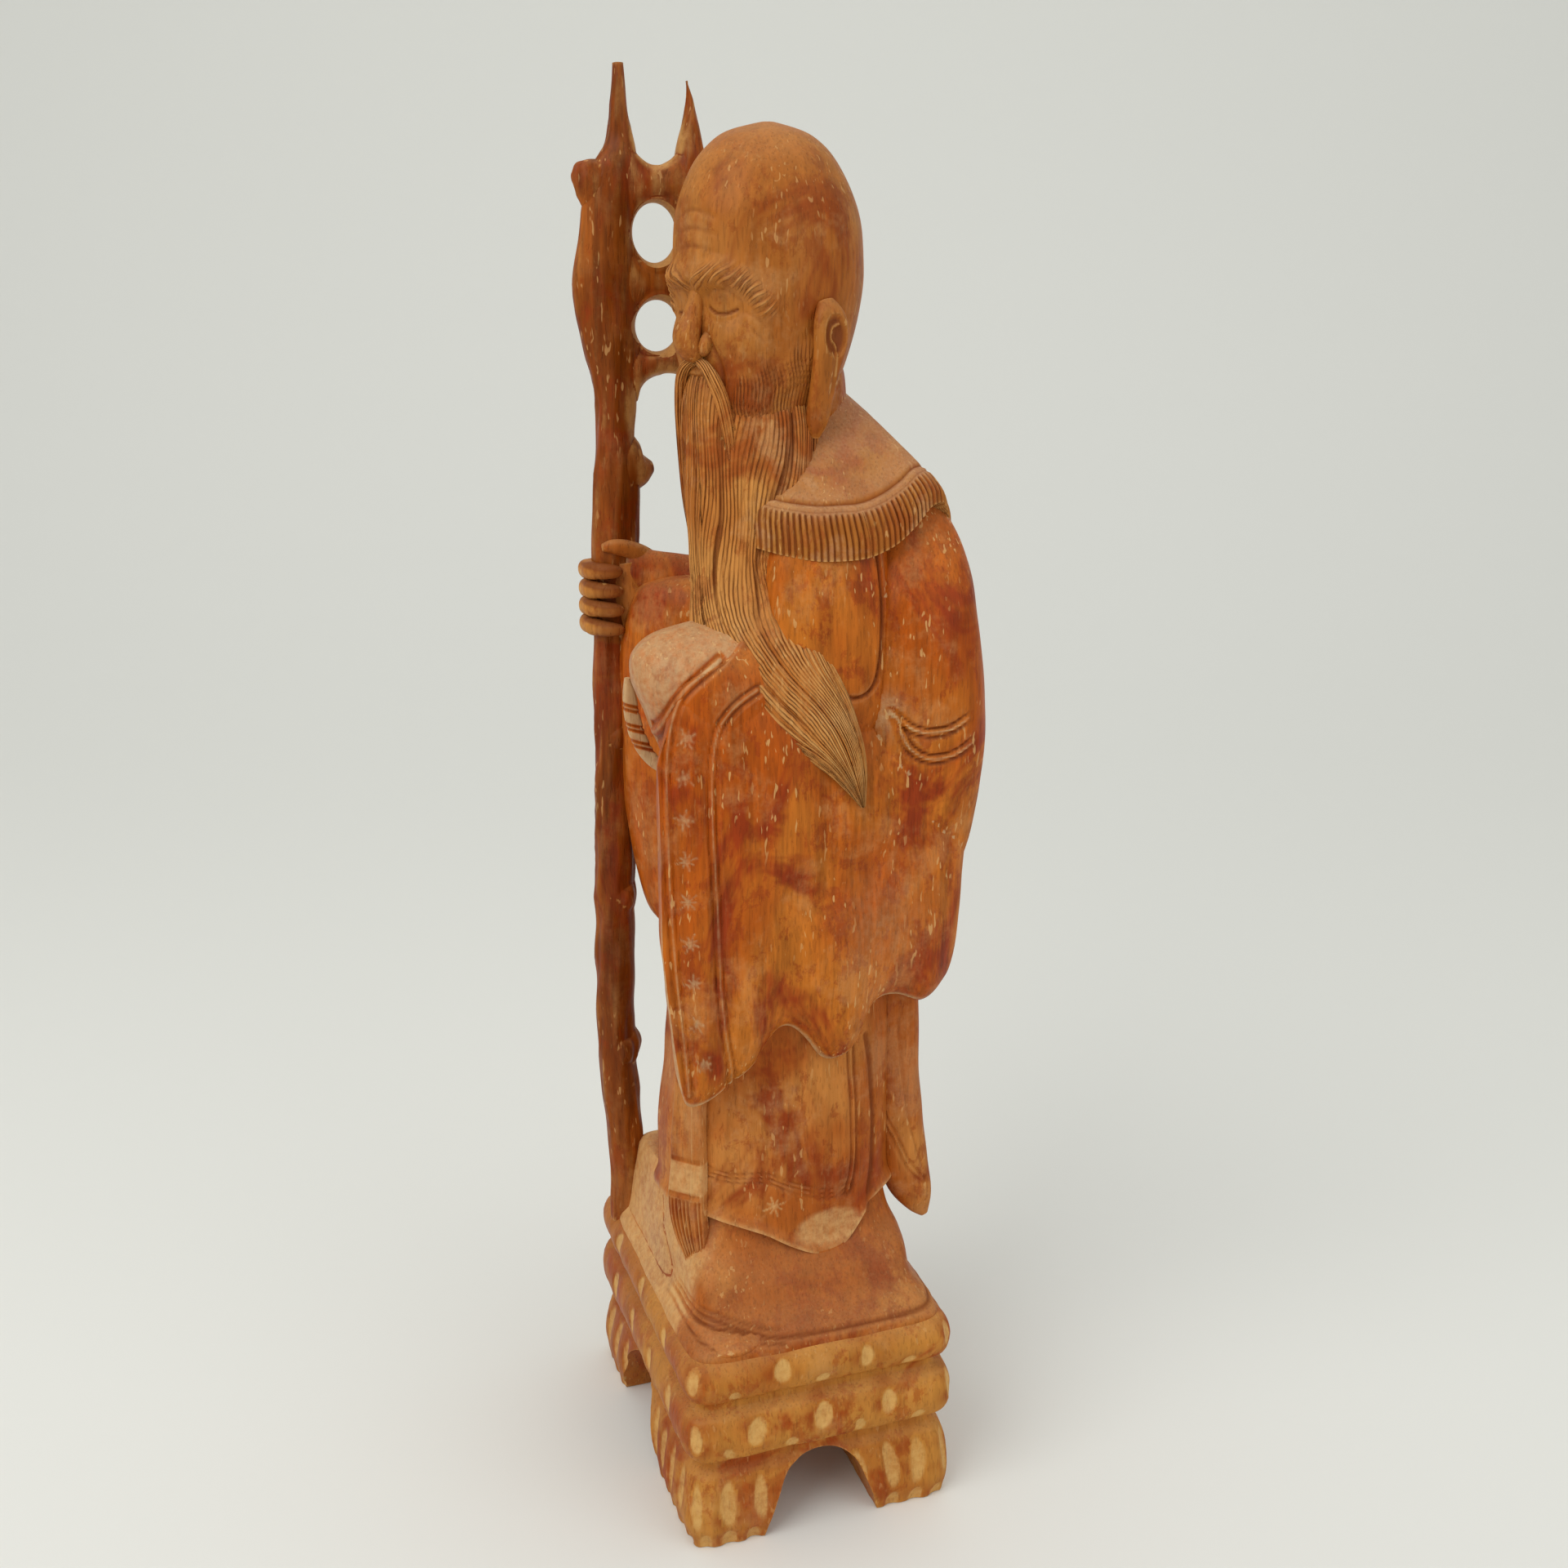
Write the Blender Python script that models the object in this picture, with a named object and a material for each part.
"""A wooden carving of an old man with a tall bald head, long beard and knotted staff, on a plinth.

The figure, its staff and the four-footed plinth are one block of wood. Each form is a closed skin
carried over stations, and one Boolean union joins them. Sizes here are in millimetres, and the
mesh is in metres. The figure faces -Y, its left side is +X, and +Z is up.
"""

import bmesh
import bpy
import mathutils
import numpy as np

MM = 0.001

# Plinth: two bulging rolls on four splayed feet
PLINTH_WIDTH = 112.0
PLINTH_DEPTH = 85.0
FOOT_HEIGHT = 26.0
LOWER_ROLL_HEIGHT = 19.5
UPPER_ROLL_HEIGHT = 16.5
ROLL_BULGE = 4.5
PLINTH_SQUARENESS = 16.0
SIDE_ARCH_WIDTH = 36.0
SIDE_ARCH_OFFSET = -1.0
FRONT_ARCH_WIDTH = 44.0
FRONT_ARCH_OFFSET = -6.0
ARCH_HEIGHT = 24.5
FLUTE_DEPTH = 0.9
FLUTES_PER_SIDE = 5

# Figure: drawn on stations for a crown 339 mm above the plinth, and scaled to FIGURE_HEIGHT
FIGURE_HEIGHT = 332.5
DRAWN_HEIGHT = 339.0
DRAWN_PLINTH_TOP = 64.0
HEAD_TURN = 22.0
HEAD_AXIS = (4.0, 0.0)

# Staff: stands on the plinth's right front corner and passes through the right fist
STAFF_HEIGHT = 349.5
STAFF_INSET_X = 18.7
STAFF_INSET_Y = 7.5
STAFF_THICKNESS = 12.0
STAFF_PLANE = -38.0
STAFF_FOOT = -35.0
GRIP_Z = 270.5
DRAWN_STAFF_TIP = 420.3
FINGER_THICKNESS = 5.8

# Faces around and along each form
ROUND = 24
SLIM = 8

PLINTH_TOP = FOOT_HEIGHT + LOWER_ROLL_HEIGHT + UPPER_ROLL_HEIGHT
SCALE = FIGURE_HEIGHT / DRAWN_HEIGHT


def eased(at, keys, values):
    """Values read between keys on a smooth curve that never overshoots them."""
    keys = np.asarray(keys, float)
    values = np.asarray(values, float)
    at = np.clip(at, keys[0], keys[-1])
    step = np.clip(np.searchsorted(keys, at, side="right") - 1, 0, len(keys) - 2)
    width = np.diff(keys)
    slope = (np.diff(values, axis=0).T / width).T
    tangent = np.vstack([slope[:1], 0.5 * (slope[:-1] + slope[1:]), slope[-1:]])
    limit = 3.0 * np.minimum(np.abs(slope[:-1]), np.abs(slope[1:]))
    same_way = slope[:-1] * slope[1:] > 0
    tangent[1:-1] = np.where(same_way, np.clip(tangent[1:-1], -limit, limit), 0.0)
    share = ((at - keys[step]) / width[step])[:, None]
    span = width[step][:, None]
    return (
        (2 * share**3 - 3 * share**2 + 1) * values[step]
        + (share**3 - 2 * share**2 + share) * span * tangent[step]
        + (3 * share**2 - 2 * share**3) * values[step + 1]
        + (share**3 - share**2) * span * tangent[step + 1]
    )


def bump(distance, width):
    """1 at distance 0, falling smoothly to nothing a few widths away."""
    return np.exp(-((distance / width) ** 2))


def around(count):
    """Angles once round a ring: 0 is the figure's left (+X), a quarter turn is its back (+Y)."""
    return np.linspace(0.0, 2.0 * np.pi, count, endpoint=False)


def reach(angle, squareness):
    """Polar radius of a unit superellipse: 2 is a circle, higher is nearer to a square."""
    power = np.abs(np.cos(angle)) ** squareness + np.abs(np.sin(angle)) ** squareness
    return power ** (-1.0 / squareness)


def placed(points):
    """Drawn figure points, from the ground of the drawing, set on the plinth at the real scale."""
    moved = np.array(points, float)
    moved[..., 2] -= DRAWN_PLINTH_TOP
    moved *= SCALE
    moved[..., 2] += PLINTH_TOP
    return moved


def upright(rows, rise, count):
    """Rings stacked up: rows hold z, right, left, front, back, squareness; rise samples them."""
    rows = np.asarray(rows, float)
    level = np.linspace(0.0, 1.0, rise) * (len(rows) - 1)
    z, right, left, front, back, squareness = eased(level, np.arange(len(rows)), rows).T[
        :, :, None
    ]
    angle = around(count)[None, :]
    radius = reach(angle, squareness)
    x = 0.5 * (left + right) + 0.5 * (left - right) * radius * np.cos(angle)
    y = 0.5 * (front + back) + 0.5 * (back - front) * radius * np.sin(angle)
    return np.stack([x, y, z + 0.0 * x], axis=-1)


def carried(stations, side, rise, count, squareness=2.0):
    """A ring carried along a path: stations hold x, y, z, half size along side, half size across."""
    stations = np.asarray(stations, float)
    level = np.linspace(0.0, 1.0, rise) * (len(stations) - 1)
    x, y, z, half_side, half_across = eased(level, np.arange(len(stations)), stations).T
    path = np.stack([x, y, z], axis=-1)
    along = np.gradient(path, axis=0)
    along /= np.linalg.norm(along, axis=1, keepdims=True)
    side = np.broadcast_to(np.asarray(side, float), path.shape)
    side = side - (side * along).sum(1, keepdims=True) * along
    side /= np.linalg.norm(side, axis=1, keepdims=True)
    across = np.cross(along, side)
    angle = around(count)
    radius = reach(angle, squareness)
    out_side = (half_side[:, None] * radius * np.cos(angle))[..., None] * side[:, None]
    out_across = (half_across[:, None] * radius * np.sin(angle))[..., None] * across[:, None]
    return path[:, None] + out_side + out_across


def solid(name, rings):
    """A closed mesh from a grid of rings, each end fanned to its middle, with faces outwards."""
    rise, count = rings.shape[:2]
    ends = np.stack([rings[0].mean(axis=0), rings[-1].mean(axis=0)])
    points = np.vstack([rings.reshape(-1, 3), ends]) * MM
    index = np.arange(rise * count).reshape(rise, count)
    ahead = np.roll(index, -1, axis=1)
    sides = np.stack([index[:-1], ahead[:-1], ahead[1:], index[1:]], axis=-1).reshape(-1, 4)
    first = np.stack([np.full(count, rise * count), ahead[0], index[0]], axis=-1)
    last = np.stack([np.full(count, rise * count + 1), index[-1], ahead[-1]], axis=-1)
    mesh = bpy.data.meshes.new(name)
    mesh.from_pydata(points.tolist(), [], sides.tolist() + first.tolist() + last.tolist())
    form = bmesh.new()
    form.from_mesh(mesh)
    bmesh.ops.recalc_face_normals(form, faces=form.faces)
    form.to_mesh(mesh)
    form.free()
    return bpy.data.objects.new(name, mesh)


def plinth():
    """Rounded-rectangle rings: fluted feet that splay outwards, then two bulging rolls."""
    foot, lower = FOOT_HEIGHT, FOOT_HEIGHT + LOWER_ROLL_HEIGHT
    half_lower, half_upper = 0.5 * LOWER_ROLL_HEIGHT, 0.5 * UPPER_ROLL_HEIGHT
    heights = [0.0, 0.45 * foot, 0.88 * foot, foot]
    insets = [1.5, 0.6, 0.7 * ROLL_BULGE, ROLL_BULGE]
    heights += [foot + 0.35 * half_lower, foot + half_lower, lower - 0.35 * half_lower, lower]
    insets += [0.3 * ROLL_BULGE, 0.0, 0.3 * ROLL_BULGE, ROLL_BULGE]
    heights += [lower + 0.4 * half_upper, lower + half_upper, PLINTH_TOP - 0.35 * half_upper]
    insets += [0.35 * ROLL_BULGE, 0.1 * ROLL_BULGE, 0.5 * ROLL_BULGE]
    heights += [PLINTH_TOP]
    insets += [1.8 * ROLL_BULGE]
    z = np.array(heights)[:, None]
    inset = np.array(insets)[:, None]
    angle = around(4 * 2 * FLUTES_PER_SIDE)[None, :]
    flute = FLUTE_DEPTH * np.cos(0.5 * angle.size * angle) * bump(z - 0.3 * foot, 0.4 * foot)
    half_x = 0.5 * PLINTH_WIDTH - inset + flute
    half_y = 0.5 * PLINTH_DEPTH - inset + flute
    radius = reach(angle, PLINTH_SQUARENESS)
    rings = [half_x * radius * np.cos(angle), half_y * radius * np.sin(angle), z + 0.0 * angle]
    return solid("plinth", np.stack(rings, axis=-1))


def arch(name, width, along_x, centre):
    """A cutter for the gap between two feet, flared at the ground and flat at the top."""
    share = np.array([-0.52, -0.42, -0.34, -0.25, -0.15, 0.15, 0.25, 0.34, 0.42, 0.52])
    level = np.array([-0.1, 0.4, 0.7, 0.92, 1.0, 1.0, 0.92, 0.7, 0.4, -0.1])
    reach_out = 0.75 * max(PLINTH_WIDTH, PLINTH_DEPTH)
    place = share * width + centre
    height = level * ARCH_HEIGHT
    ends = []
    for end in (-reach_out, reach_out):
        run = np.full_like(place, end)
        ends.append(np.stack([run, place, height] if along_x else [place, run, height], axis=-1))
    return solid(name, np.stack(ends))


def mound():
    """The under robe spread over the plinth, rising in a hollow curve to the skirt."""
    edge_x = (0.5 * PLINTH_WIDTH - 6.0) / SCALE
    edge_y = (0.5 * PLINTH_DEPTH - 5.5) / SCALE
    rows = [
        (60.0, -edge_x, edge_x, -edge_y, edge_y, 9.0),
        (66.5, -edge_x + 1.0, edge_x - 0.5, -edge_y + 1.0, edge_y - 0.5, 8.0),
        (70.0, -edge_x + 6.0, edge_x - 4.5, -edge_y + 3.0, edge_y - 1.5, 5.5),
        (76.0, -38.0, 41.0, -33.5, 35.5, 4.2),
        (86.0, -32.0, 35.0, -32.5, 33.5, 3.0),
        (98.0, -25.0, 31.0, -31.0, 33.0, 2.5),
        (115.0, -19.0, 29.0, -28.0, 32.0, 2.4),
    ]
    return solid("mound", placed(upright(rows, 9, ROUND)))


def skirt():
    """The robe below the sleeves, with a hem that hangs in lobes."""
    rows = [
        (0.0, -21.5, 35.5, -35.5, 36.5, 2.4),
        (22.0, -20.5, 35.0, -35.5, 37.0, 2.4),
        (50.0, -20.0, 34.0, -32.5, 38.0, 2.4),
        (82.0, -22.0, 32.0, -31.0, 40.0, 2.4),
        (115.0, -24.0, 30.0, -29.0, 43.0, 2.3),
    ]
    rings = upright(rows, 8, ROUND)
    angle = around(ROUND)
    hem = 95.0 - 15.0 * bump(angle - 0.20, 0.40) - 8.0 * bump(angle - 3.6, 0.5)
    hem -= 15.0 * bump(angle - 6.48, 0.40)
    hem += 6.0 * bump(angle - 1.35, 0.5)
    share = rings[..., 2] / rows[-1][0]
    rings[..., 2] = hem + share * (190.0 - hem)
    return solid("skirt", placed(rings))


def torso():
    """The body under the cape: deep from front to back and bent forward at the shoulders."""
    rows = [
        (165.0, -24.0, 29.0, -26.0, 43.0, 2.3),
        (200.0, -24.0, 29.0, -22.0, 47.0, 2.3),
        (235.0, -25.0, 29.0, -18.0, 49.5, 2.3),
        (262.0, -26.0, 29.0, -15.0, 50.0, 2.3),
        (288.0, -26.0, 28.0, -12.0, 48.5, 2.2),
        (306.0, -21.0, 24.0, -9.0, 43.0, 2.1),
        (320.0, -14.0, 17.0, -6.0, 32.0, 2.0),
        (330.0, -9.0, 12.0, -4.0, 20.0, 2.0),
    ]
    return solid("torso", placed(upright(rows, 8, 20)))


def left_sleeve():
    """The wide sleeve drawn across the left side: slices from the cuff in front to the back."""
    slices = [
        (-43.5, 240.0, 186.0, 38.0, 42.5),
        (-38.0, 256.0, 140.0, 31.0, 43.5),
        (-30.0, 263.0, 138.0, 24.0, 44.0),
        (-18.0, 264.0, 146.0, 14.0, 44.5),
        (-8.0, 261.0, 156.5, 10.0, 44.5),
        (0.0, 258.0, 154.0, 10.0, 44.5),
        (9.0, 256.0, 145.5, 10.0, 44.0),
        (15.0, 255.0, 149.0, 10.0, 43.5),
        (22.0, 254.0, 160.0, 10.0, 43.0),
        (34.0, 250.0, 159.0, 10.0, 42.0),
        (42.0, 246.0, 163.0, 12.0, 39.0),
        (48.5, 240.0, 170.0, 16.0, 35.5),
        (52.0, 226.0, 205.0, 22.0, 31.0),
    ]
    level = np.linspace(0.0, 1.0, 15) * (len(slices) - 1)
    y, top, hem, inner, outer = eased(level, np.arange(len(slices)), slices).T[:, :, None]
    angle = around(ROUND)[None, :]
    radius = reach(angle, 4.0)
    across, up = radius * np.cos(angle), radius * np.sin(angle)
    x = 0.5 * (inner + outer) + 0.5 * (outer - inner) * across
    z = 0.5 * (top + hem) + 0.5 * (top - hem) * up
    rounding = np.minimum(6.0, 0.3 * (outer - inner))
    x = x - rounding * np.clip(up, 0.0, 1.0) ** 3 * np.clip(across, 0.0, 1.0)
    z = z - 4.0 * np.clip(-up, 0.0, 1.0) ** 4 * across
    return solid("left_sleeve", placed(np.stack([x, y + 0.0 * x, z], axis=-1)))


def cuff():
    """The cuff at the end of the left sleeve, raised in a high lip on its far side."""
    stations = [
        (23.5, -43.5, 249.0, 13.0, 17.0),
        (23.0, -39.0, 250.5, 16.0, 20.0),
        (23.0, -30.0, 251.0, 17.0, 20.5),
        (24.0, -18.0, 251.0, 18.0, 20.0),
        (25.0, -6.0, 248.0, 16.5, 17.0),
    ]
    return solid("cuff", placed(carried(stations, (1, 0, 0), 8, 20, 2.3)))


def cuff_mouth():
    """A cutter that hollows the cuff between its far lip and its near lip."""
    stations = [
        (21.0, -60.0, 262.0, 9.0, 12.0),
        (21.5, -52.0, 258.0, 11.5, 16.0),
        (22.0, -42.0, 256.0, 12.0, 15.5),
        (22.5, -34.0, 258.0, 10.0, 11.0),
        (23.0, -28.0, 260.0, 5.0, 5.0),
    ]
    return solid("cuff_mouth", placed(carried(stations, (1, 0, 0), 8, 14)))


def left_arm():
    """The upper arm inside its sleeve, from the cape down to the bent elbow."""
    stations = [
        (21.0, 29.0, 312.0, 6.0, 6.0),
        (23.0, 32.0, 302.0, 11.0, 10.0),
        (25.5, 34.5, 288.0, 14.0, 15.0),
        (28.0, 35.5, 272.0, 15.5, 16.5),
        (28.5, 36.0, 254.0, 15.5, 18.5),
        (28.0, 36.5, 236.0, 15.0, 19.5),
        (26.0, 36.5, 216.0, 13.0, 18.5),
        (25.0, 35.0, 196.0, 11.0, 15.5),
    ]
    return solid("left_arm", placed(carried(stations, (1, 0, 0), 10, 16, 2.4)))


def right_arm():
    """The right arm, reaching forward from the shoulder to the fist on the staff."""
    stations = [
        (-14.0, 36.0, 306.0, 10.0, 12.0),
        (-20.0, 30.0, 292.0, 13.0, 17.0),
        (-24.0, 16.0, 278.0, 12.0, 17.0),
        (-27.0, 0.0, 272.0, 9.5, 14.0),
        (-30.0, -13.0, 273.0, 7.0, 10.5),
        (-33.5, -24.0, 277.0, 5.5, 8.0),
        (-36.0, -31.0, 277.0, 5.0, 9.0),
    ]
    return solid("right_arm", placed(carried(stations, (1, 0, 0), 9, 12)))


def right_sleeve():
    """The sleeve that hangs from the right forearm, against the back of the staff."""
    slices = [
        (-35.0, 258.0, 205.0, -29.0, -33.5),
        (-32.0, 272.0, 183.0, -24.0, -35.5),
        (-25.0, 277.0, 168.5, -14.0, -37.0),
        (-10.0, 279.0, 176.0, -8.0, -38.0),
        (8.0, 282.0, 170.0, -8.0, -38.0),
        (26.0, 278.0, 180.0, -8.0, -35.0),
        (40.0, 262.0, 200.0, -10.0, -27.0),
    ]
    level = np.linspace(0.0, 1.0, 11) * (len(slices) - 1)
    y, top, hem, inner, outer = eased(level, np.arange(len(slices)), slices).T[:, :, None]
    angle = around(18)[None, :]
    radius = reach(angle, 3.4)
    x = 0.5 * (inner + outer) + 0.5 * (inner - outer) * radius * np.cos(angle)
    z = 0.5 * (top + hem) + 0.5 * (top - hem) * radius * np.sin(angle)
    return solid("right_sleeve", placed(np.stack([x, y + 0.0 * x, z], axis=-1)))


def cape():
    """The shoulder cape over the bent back, with its fringed edge standing a little proud."""
    rows = [
        (0.00, -34.0, 37.5, -17.0, 51.0, 2.8),
        (0.14, -34.0, 37.0, -17.0, 50.3, 2.8),
        (0.30, -32.0, 35.0, -15.5, 46.5, 2.6),
        (0.33, -30.5, 33.5, -14.0, 45.0, 2.6),
        (0.60, -24.0, 26.5, -10.0, 37.5, 2.3),
        (0.82, -16.0, 18.5, -7.0, 30.0, 2.1),
        (1.00, -9.0, 12.5, -5.0, 21.0, 2.0),
    ]
    count = 32
    rings = upright(rows, 9, count)
    angle = around(count)
    hem = 290.5 + 14.0 * bump(angle - 0.95, 0.35) + 14.0 * bump(angle - 2.2, 0.35)
    rings[..., 2] = hem + rings[..., 2] * (334.0 - hem)
    return solid("cape", placed(rings))


def collar():
    """The raised neck band behind the head."""
    rows = [
        (312.0, -14.0, 19.0, -13.0, 20.0, 2.0),
        (326.0, -15.0, 20.0, -11.0, 22.5, 2.0),
        (340.0, -15.0, 20.5, -9.0, 21.5, 2.0),
        (342.5, -13.0, 18.5, -7.0, 19.5, 2.0),
    ]
    return solid("collar", placed(upright(rows, 5, 18)))


def turned(points):
    """Points drawn about the head's own axis (x left, y back) turned with the head and set down."""
    turn = np.radians(HEAD_TURN)
    x, y, z = np.moveaxis(np.asarray(points, float), -1, 0)
    out_x = HEAD_AXIS[0] + x * np.cos(turn) - y * np.sin(turn)
    out_y = HEAD_AXIS[1] + x * np.sin(turn) + y * np.cos(turn)
    return placed(np.stack([out_x, out_y, z], axis=-1))


def head():
    """The tall dome and the face below it, with eye hollows, cheeks and a brow."""
    rows = [
        (314.0, -10.0, 10.0, -15.0, 10.0, 2.0),
        (322.0, -15.5, 15.5, -21.0, 14.0, 2.1),
        (332.0, -19.0, 19.0, -23.5, 17.5, 2.2),
        (343.0, -21.5, 21.5, -24.5, 21.5, 2.3),
        (354.0, -23.2, 23.2, -25.0, 25.0, 2.2),
        (366.0, -24.2, 24.2, -26.3, 27.2, 2.1),
        (378.0, -23.6, 23.6, -26.0, 26.3, 2.0),
        (389.0, -20.0, 20.0, -22.3, 21.8, 2.0),
        (397.0, -14.0, 14.0, -16.0, 15.0, 2.0),
        (401.0, -8.0, 8.0, -9.5, 8.5, 2.0),
        (402.6, -2.0, 2.0, -3.0, 2.0, 2.0),
    ]
    rings = upright(rows, 16, ROUND)
    angle, z = around(ROUND)[None, :], rings[..., 2]
    off_front = np.abs(np.angle(np.exp(1j * (angle + 0.5 * np.pi))))
    change = -2.4 * bump(off_front - 0.42, 0.22) * bump(z - 356.0, 4.5)
    change = change + 1.4 * bump(off_front - 0.30, 0.35) * bump(z - 364.0, 3.5)
    change = change + 1.2 * bump(off_front - 0.62, 0.25) * bump(z - 346.0, 6.0)
    length = np.hypot(rings[..., 0], rings[..., 1])
    rings[..., :2] *= (1.0 + change / length)[..., None]
    return solid("head", turned(rings))


def nose():
    """A plain straight nose on the turned head's middle line."""
    stations = [
        (0.0, -22.0, 362.0, 2.2, 2.0),
        (0.0, -24.5, 355.0, 2.4, 2.4),
        (0.0, -26.5, 349.0, 3.6, 3.2),
        (0.0, -26.5, 345.0, 4.6, 3.6),
        (0.0, -23.0, 342.5, 3.0, 2.0),
    ]
    return solid("nose", turned(carried(stations, (1, 0, 0), 7, 8)))


def brow(side):
    """A thick brow that droops past the outer corner of the eye."""
    stations = [
        (side * 3.0, -24.6, 362.5, 1.6, 1.6),
        (side * 9.0, -25.0, 364.5, 2.2, 2.0),
        (side * 15.5, -21.0, 362.0, 2.0, 1.8),
        (side * 20.0, -14.5, 357.0, 1.0, 1.2),
    ]
    return solid("brow", turned(carried(stations, (0, 0, 1), 7, 6)))


def ear(side):
    """A long-lobed ear: a raised rim, a hollow inside it and a lobe that hangs to the jaw."""
    stations = [
        (side * 23.0, 0.0, 356.0, 1.8, 2.6),
        (side * 25.0, 0.5, 352.5, 2.6, 5.4),
        (side * 25.4, 0.5, 347.0, 2.6, 5.4),
        (side * 24.2, -1.0, 339.0, 2.2, 4.0),
        (side * 22.2, -1.5, 328.0, 2.2, 3.6),
        (side * 20.5, -1.5, 322.3, 1.4, 1.8),
    ]
    return solid("ear", turned(carried(stations, (1, 0, 0), 8, 8)))


def beard():
    """The beard: full at the jaw, falling on the chest and swept over the left forearm."""
    stations = [
        (10.0, -10.0, 337.0, 13.0, 9.0),
        (13.0, -9.5, 326.0, 17.5, 12.0),
        (15.0, -11.5, 312.0, 16.0, 11.5),
        (16.5, -13.5, 298.0, 13.5, 10.5),
        (19.0, -13.5, 285.0, 12.3, 9.5),
        (25.0, -12.0, 272.0, 12.5, 8.5),
        (34.0, -7.5, 260.0, 11.5, 7.0),
        (39.5, 1.5, 248.0, 9.2, 5.5),
        (42.0, 7.0, 239.5, 6.2, 4.0),
        (43.0, 9.8, 233.0, 3.6, 2.6),
        (43.5, 11.4, 226.0, 0.8, 1.2),
    ]
    return solid("beard", placed(carried(stations, (0.30, 0.95, 0.25), 16, 16, 2.3)))


def moustache(side):
    """One long strand from the upper lip, lying down over the beard."""
    stations = [
        (side * 1.5, -24.5, 341.5, 1.6, 1.6),
        (side * 6.0, -24.0, 337.5, 2.4, 2.2),
        (side * 9.0, -21.0, 328.0, 2.6, 2.4),
        (side * 9.5, -19.5, 312.0, 2.4, 2.2),
        (side * 8.5, -19.5, 296.0, 1.0, 1.0),
    ]
    return solid("moustache", turned(carried(stations, (1, 0, 0), 8, 6)))


def sash():
    """The folded ribbon that hangs in front, ending in a tassel."""
    stations = [
        (22.0, -29.0, 160.0, 4.5, 2.8),
        (23.0, -30.5, 130.0, 4.5, 2.8),
        (23.5, -31.0, 116.0, 5.2, 2.8),
        (24.0, -32.0, 107.0, 5.2, 2.5),
        (24.5, -33.0, 95.0, 6.2, 3.0),
        (25.5, -31.5, 80.5, 5.5, 3.0),
    ]
    return solid("sash", placed(carried(stations, (0.7, 0.7, 0.0), 8, 8, 4.0)))


def back_tail():
    """The pointed tail of the robe, hanging free behind the left hip."""
    stations = [
        (16.0, 33.0, 176.0, 12.0, 9.0),
        (18.0, 34.5, 148.0, 10.0, 7.8),
        (19.0, 35.4, 125.0, 8.5, 7.6),
        (19.5, 37.0, 108.0, 7.5, 8.0),
        (20.0, 39.5, 94.0, 6.5, 7.6),
        (20.5, 42.5, 86.0, 5.0, 6.0),
        (20.5, 44.5, 81.0, 3.5, 3.8),
        (20.5, 46.0, 78.0, 1.5, 1.6),
    ]
    return solid("back_tail", placed(carried(stations, (1, 0, 0), 11, 14, 2.6)))


def shoe():
    """The toe of the left shoe under the hem."""
    level = PLINTH_TOP - 1.0
    toe_x, toe_y = 0.5 * PLINTH_WIDTH - 8.0, -0.5 * PLINTH_DEPTH + 9.0
    stations = [
        (toe_x - 8.0, toe_y + 22.0, level + 2.0, 5.0, 3.0),
        (toe_x - 3.0, toe_y + 13.0, level + 2.0, 6.5, 4.0),
        (toe_x - 0.5, toe_y + 5.0, level + 1.5, 5.5, 3.6),
        (toe_x, toe_y, level + 0.5, 2.0, 1.8),
    ]
    return solid("shoe", carried(stations, (1, 0, 0), 6, 10))


def on_staff(y, z):
    """A point of the staff: it leans from its foot on the plinth to the drawn line of the hand."""
    x_hand, y_drawn, z_drawn = placed((STAFF_PLANE, y, z))
    foot_x = -0.5 * PLINTH_WIDTH + STAFF_INSET_X
    foot_y = -0.5 * PLINTH_DEPTH + STAFF_INSET_Y
    below_hand = np.clip((GRIP_Z - z) / (GRIP_Z - DRAWN_PLINTH_TOP), 0.0, 1.0)
    above_hand = np.clip((z - GRIP_Z) / (DRAWN_STAFF_TIP - GRIP_Z), 0.0, 1.0)
    stretch = STAFF_HEIGHT - SCALE * (DRAWN_STAFF_TIP - DRAWN_PLINTH_TOP)
    x = x_hand + below_hand * (foot_x - x_hand)
    return x, y_drawn + below_hand * (foot_y - SCALE * STAFF_FOOT), z_drawn + above_hand * stretch


def limb(name, line, rise, count=SLIM):
    """A length of the staff: line holds y, z, half width in the fork's plane, half thickness share."""
    stations = []
    for y, z, half_width, share in line:
        stations.append((*on_staff(y, z), half_width * SCALE, 0.5 * STAFF_THICKNESS * share))
    return solid(name, carried(stations, (0, 1, 0.2), rise, count))


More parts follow.
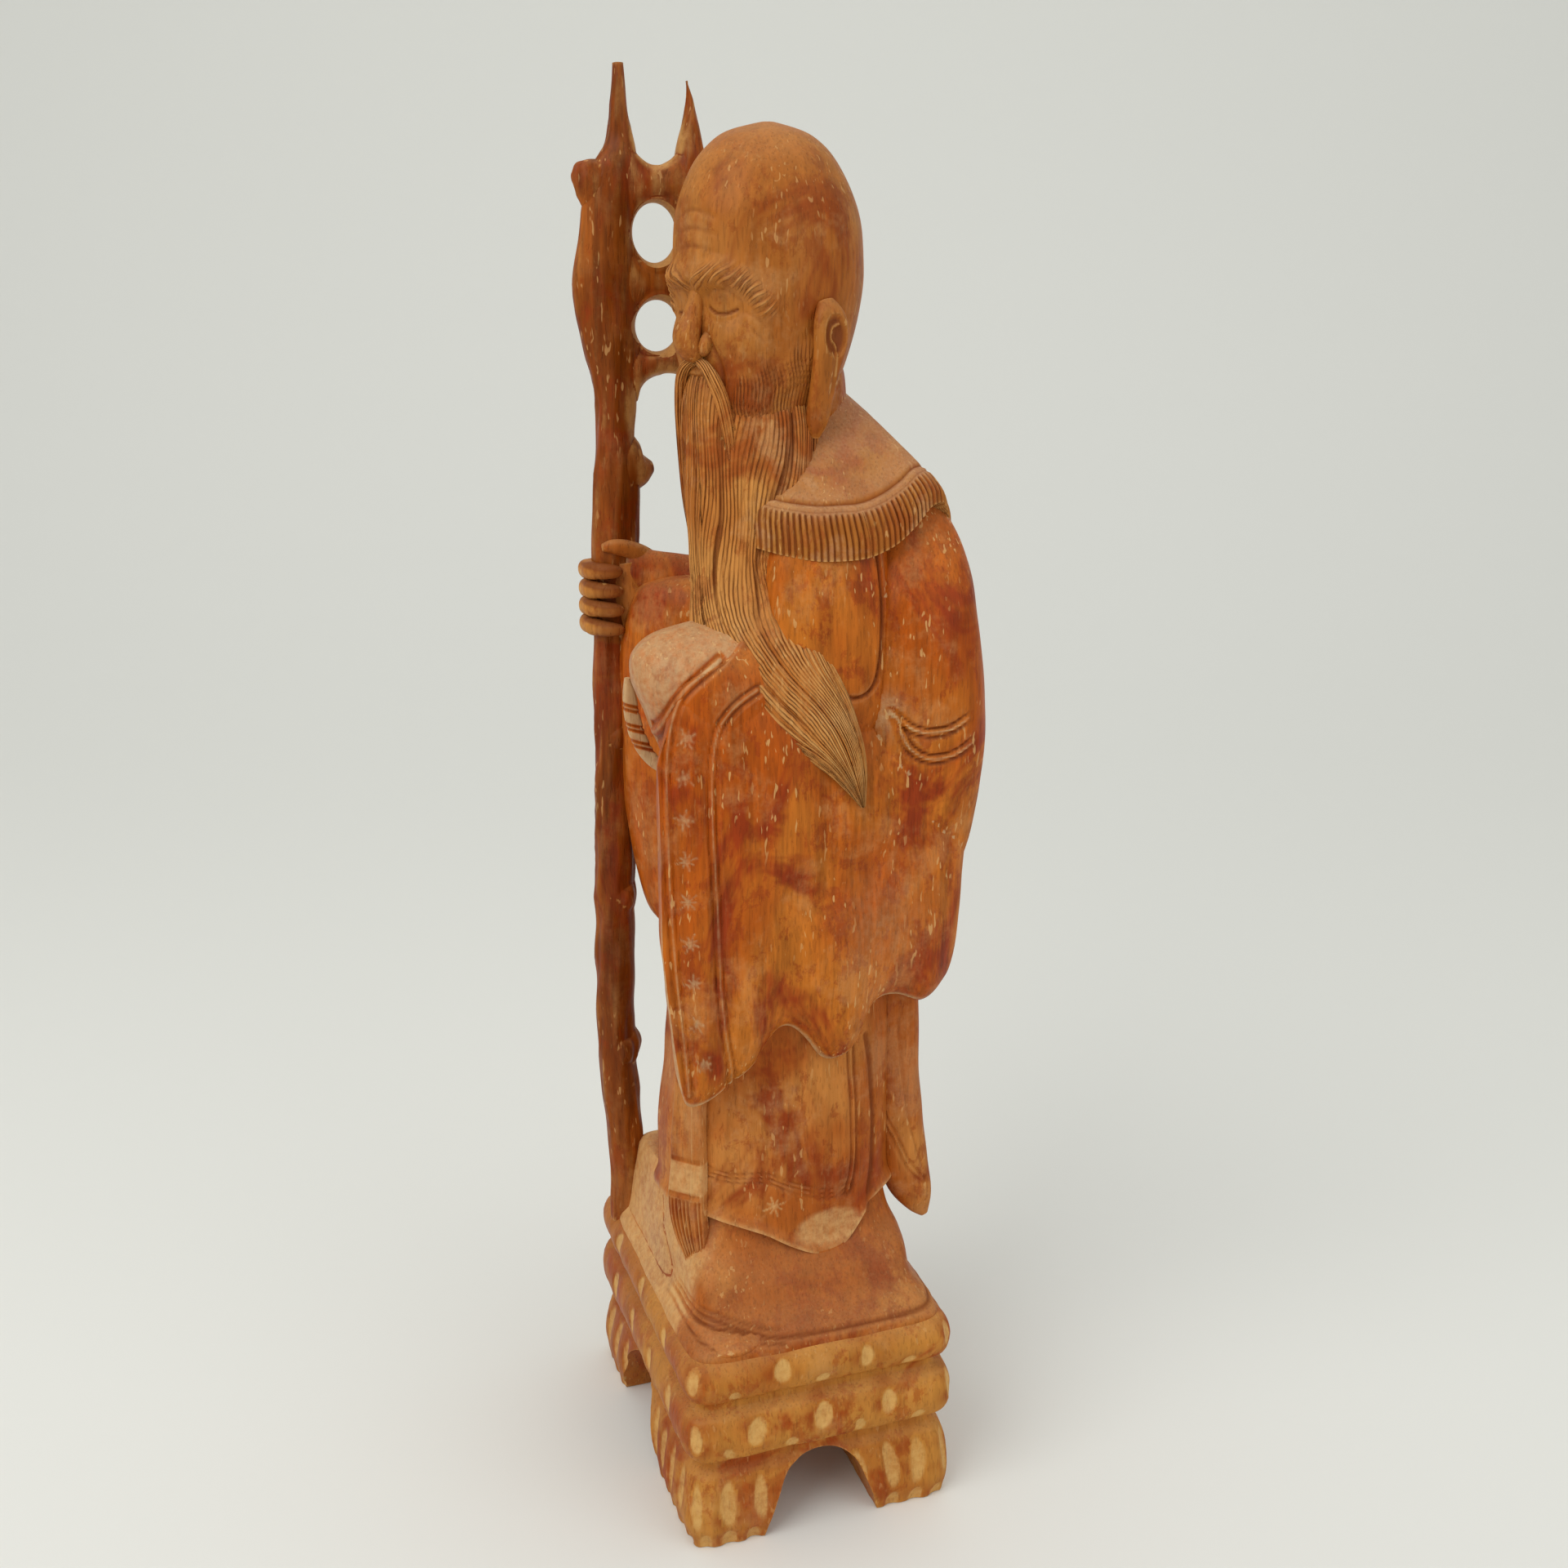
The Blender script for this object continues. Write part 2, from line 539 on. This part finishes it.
def staff():
    """The gnarled stem, its fork with two eyes and two broken tips, and its knots."""
    stem = [
        (STAFF_FOOT - 1.0, 60.0, 5.6, 0.85),
        (STAFF_FOOT, 78.0, 6.3, 0.9),
        (-36.2, 97.0, 6.4, 1.0),
        (-37.4, 115.0, 6.5, 1.0),
        (-37.8, 138.0, 6.6, 1.05),
        (-37.0, 172.0, 6.8, 1.05),
        (-36.3, 208.0, 6.8, 1.0),
        (-35.1, 250.0, 6.9, 1.0),
        (-34.3, 286.0, 7.4, 1.0),
        (-33.3, 302.0, 7.6, 1.0),
        (-33.3, 318.0, 6.2, 0.95),
        (-32.6, 330.0, 6.8, 0.95),
        (-33.5, 345.0, 8.9, 1.0),
        (-34.8, 361.0, 9.9, 1.0),
        (-34.0, 376.0, 8.3, 1.0),
        (-32.5, 388.0, 7.8, 0.95),
        (-30.4, 395.5, 6.0, 0.8),
        (-29.6, 401.0, 4.2, 0.65),
        (-29.7, 409.0, 2.8, 0.5),
        (-29.8, DRAWN_STAFF_TIP, 1.9, 0.34),
    ]
    far_stem = [
        (-11.5, 337.0, 3.2, 0.6),
        (-9.2, 345.0, 4.8, 0.85),
        (-9.0, 360.0, 5.2, 0.95),
        (-9.2, 376.0, 5.2, 0.95),
        (-9.2, 390.0, 5.4, 0.9),
        (-9.0, 398.5, 4.3, 0.75),
        (-8.7, 404.0, 3.1, 0.6),
        (-9.0, 410.0, 1.7, 0.35),
        (-9.8, 416.3, 0.6, 0.2),
    ]
    knob = [(-35.0, 385.0, 5.0, 0.8), (-40.0, 390.0, 5.0, 0.7), (-44.6, 392.0, 3.2, 0.4)]
    snag = [(-29.5, 316.0, 4.5, 0.8), (-25.5, 312.0, 3.4, 0.6), (-22.6, 309.5, 1.5, 0.3)]
    lines = [("stem", stem, 27), ("far_stem", far_stem, 10), ("knob", knob, 5), ("snag", snag, 5)]
    for low_y, high_y, low_z, high_z, half in (
        (-29.0, -9.5, 388.5, 388.5, 5.6),
        (-29.5, -9.5, 362.0, 362.0, 5.9),
        (-29.5, -9.0, 334.5, 342.5, 3.6),
    ):
        near = (low_y, low_z, half + 3.5, 0.9)
        middle = (0.5 * (low_y + high_y), 0.5 * (low_z + high_z), half, 0.8)
        far = (high_y, high_z, half + 3.0, 0.9)
        lines.append(("rung", [near, middle, far], 7))
    for knot_y, knot_z in ((-37.3, 124.0), (-37.0, 176.0), (-35.7, 228.0)):
        below = (knot_y, knot_z - 9.0, 5.4, 0.8)
        above = (knot_y, knot_z + 9.0, 5.4, 0.8)
        lines.append(("knot", [below, (knot_y, knot_z, 7.7, 1.2), above], 5))
    return [limb(name, line, rise) for name, line, rise in lines]


def web():
    """The wood left standing between the staff's foot and the robe."""
    foot = np.array(on_staff(STAFF_FOOT, 78.0))
    robe = placed((-18.0, -26.0, 80.0))
    stations = [(*foot, 5.0, 12.0), (*(0.5 * (foot + robe)), 7.0, 13.0), (*robe, 9.0, 17.0)]
    return solid("web", carried(stations, (0.4, -0.9, 0.0), 5, 12))


def fist():
    """The right hand closed round the staff: a palm, four curled fingers and the thumb on top."""
    grip = np.array(on_staff(-34.7, GRIP_Z))
    palm = [(2.0, 7.0, -12.0, 5.0, 6.0), (0.0, 5.0, 0.0, 8.0, 8.5), (0.0, 3.5, 11.0, 6.5, 6.5)]
    thumb = [
        (1.0, 8.0, 8.0, 3.4, 3.4),
        (4.0, 2.0, 12.5, 3.4, 3.0),
        (5.0, -5.0, 14.0, 3.0, 2.8),
        (5.0, -10.0, 14.0, 1.6, 1.6),
    ]
    forms = []
    for name, line, rise, count in (("palm", palm, 5, 12), ("thumb", thumb, 7, 8)):
        stations = np.array(line)
        stations[:, :3] += grip
        forms.append(solid(name, carried(stations, (1, 0, 0), rise, count)))
    wrap = 0.5 * STAFF_THICKNESS + 0.36 * FINGER_THICKNESS
    angle = np.radians(np.array([160.0, 195.0, 230.0, 265.0, 300.0, 335.0]))
    taper = np.array([1.0, 1.0, 1.05, 1.0, 0.95, 0.7])
    for finger in range(4):
        stations = np.zeros((len(angle), 5))
        stations[:, 0] = grip[0] + wrap * np.cos(angle)
        stations[:, 1] = grip[1] + (wrap - 0.4) * np.sin(angle)
        stations[:, 2] = grip[2] + (1.5 - finger) * FINGER_THICKNESS * 0.95
        stations[:, 3:] = 0.5 * FINGER_THICKNESS * taper[:, None]
        forms.append(solid("finger", carried(stations, (0, 0, 1), 7, 7)))
    return forms


def wood():
    """Oiled orange-brown hardwood."""
    material = bpy.data.materials.new("oiled_wood")
    material.use_nodes = True
    shader = material.node_tree.nodes["Principled BSDF"]
    shader.inputs["Base Color"].default_value = (0.36, 0.135, 0.035, 1.0)
    shader.inputs["Roughness"].default_value = 0.5
    shader.inputs["Metallic"].default_value = 0.0
    return material


def centre_on_origin(forms, cutters):
    """Moves everything sideways so that the middle of the whole carving is over the origin."""
    corners = np.array([corner.co[:] for form in forms for corner in form.data.vertices])
    middle = 0.5 * (corners.min(axis=0) + corners.max(axis=0))
    shift = mathutils.Matrix.Translation((-middle[0], -middle[1], 0.0))
    for form in forms + cutters:
        form.data.transform(shift)


def joined(base, others, cutters):
    """The base with the other forms united to it, and the cutters taken away."""
    scene = bpy.context.scene.collection
    scene.objects.link(base)
    for name, operation, group in (
        ("cutters_first", "DIFFERENCE", cutters["plinth"]),
        ("forms", "UNION", others),
        ("cutters_last", "DIFFERENCE", cutters["figure"]),
    ):
        held = bpy.data.collections.new(name)
        scene.children.link(held)
        for form in group:
            form.hide_render = True
            form.display_type = "WIRE"
            held.objects.link(form)
        modifier = base.modifiers.new(name, "BOOLEAN")
        modifier.operation = operation
        modifier.operand_type = "COLLECTION"
        modifier.collection = held


for left_over in list(bpy.data.objects):
    bpy.data.objects.remove(left_over)

carving = plinth()
carving.name = "shou_lao_carving"
tunnels = [
    arch("side_arch", SIDE_ARCH_WIDTH, True, SIDE_ARCH_OFFSET),
    arch("front_arch", FRONT_ARCH_WIDTH, False, FRONT_ARCH_OFFSET),
]
forms = [mound(), skirt(), torso(), left_sleeve(), cuff(), left_arm(), right_arm(), right_sleeve()]
forms += [cape(), collar(), head(), nose(), brow(1), brow(-1), ear(1), ear(-1)]
forms += [beard(), moustache(1), moustache(-1), sash(), back_tail(), shoe(), web()]
forms += staff() + fist()
mouths = [cuff_mouth()]
centre_on_origin([carving] + forms, tunnels + mouths)
joined(carving, forms, {"plinth": tunnels, "figure": mouths})
carving.data.materials.append(wood())
carving.data.shade_smooth()
